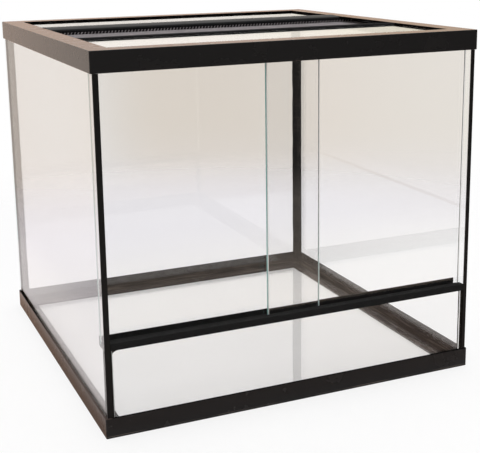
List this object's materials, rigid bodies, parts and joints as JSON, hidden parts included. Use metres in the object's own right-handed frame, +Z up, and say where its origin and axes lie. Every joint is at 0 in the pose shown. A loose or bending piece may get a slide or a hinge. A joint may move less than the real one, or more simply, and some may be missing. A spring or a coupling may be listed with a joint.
{
  "type": "small animal glass tank",
  "caption": "Front-opening glass tank for small animals, with black rims, sliding glass doors above a low fixed pane, and a mesh vent strip across the roof.",
  "frame": {"origin": "middle of the foot rim, on the table that the tank stands on", "axes": "+Z up, +X to the right seen from the front, the sliding doors face -Y"},
  "size_m": [0.5, 0.5, 0.451],
  "materials": {
    "rim_plastic": "satin black moulded plastic",
    "wall_glass": "clear float glass, seamed edges",
    "roof_glass": "clear float glass, seamed edges",
    "door_glass": "clear float glass, polished green edges",
    "track_plastic": "black extruded plastic",
    "edge_trim": "black strip",
    "vent_bar": "black extruded plastic, low gloss",
    "vent_mesh": "grey painted wire mesh",
    "silicone": "black cured silicone"
  },
  "bodies": {
    "tank": {"base_frame": "rim_plastic", "top_frame": "rim_plastic", "left_glass": "wall_glass", "right_glass": "wall_glass", "back_glass": "wall_glass", "floor_glass": "wall_glass", "lower_front_glass": "wall_glass", "top_front_glass": "roof_glass", "top_rear_glass": "roof_glass", "lower_track": "track_plastic", "upper_track": "track_plastic", "left_edge_trim": "edge_trim", "right_edge_trim": "edge_trim", "front_vent_bar": "vent_bar", "rear_vent_bar": "vent_bar", "vent_mesh": "vent_mesh", "floor_seal": "silicone", "back_left_seal": "silicone", "back_right_seal": "silicone", "front_left_seal": "silicone", "front_right_seal": "silicone", "track_seal": "silicone", "top_front_seal": "silicone", "top_rear_seal": "silicone"},
    "left_door": {"left_door": "door_glass"},
    "right_door": {"right_door": "door_glass"}
  },
  "joints": [
    {"name": "left_door_slide", "type": "slide", "parent": "tank", "child": "left_door", "axis": [1, 0, 0], "range_m": [0, 0.204]},
    {"name": "right_door_slide", "type": "slide", "parent": "tank", "child": "right_door", "axis": [1, 0, 0], "range_m": [-0.204, 0]}
  ]
}
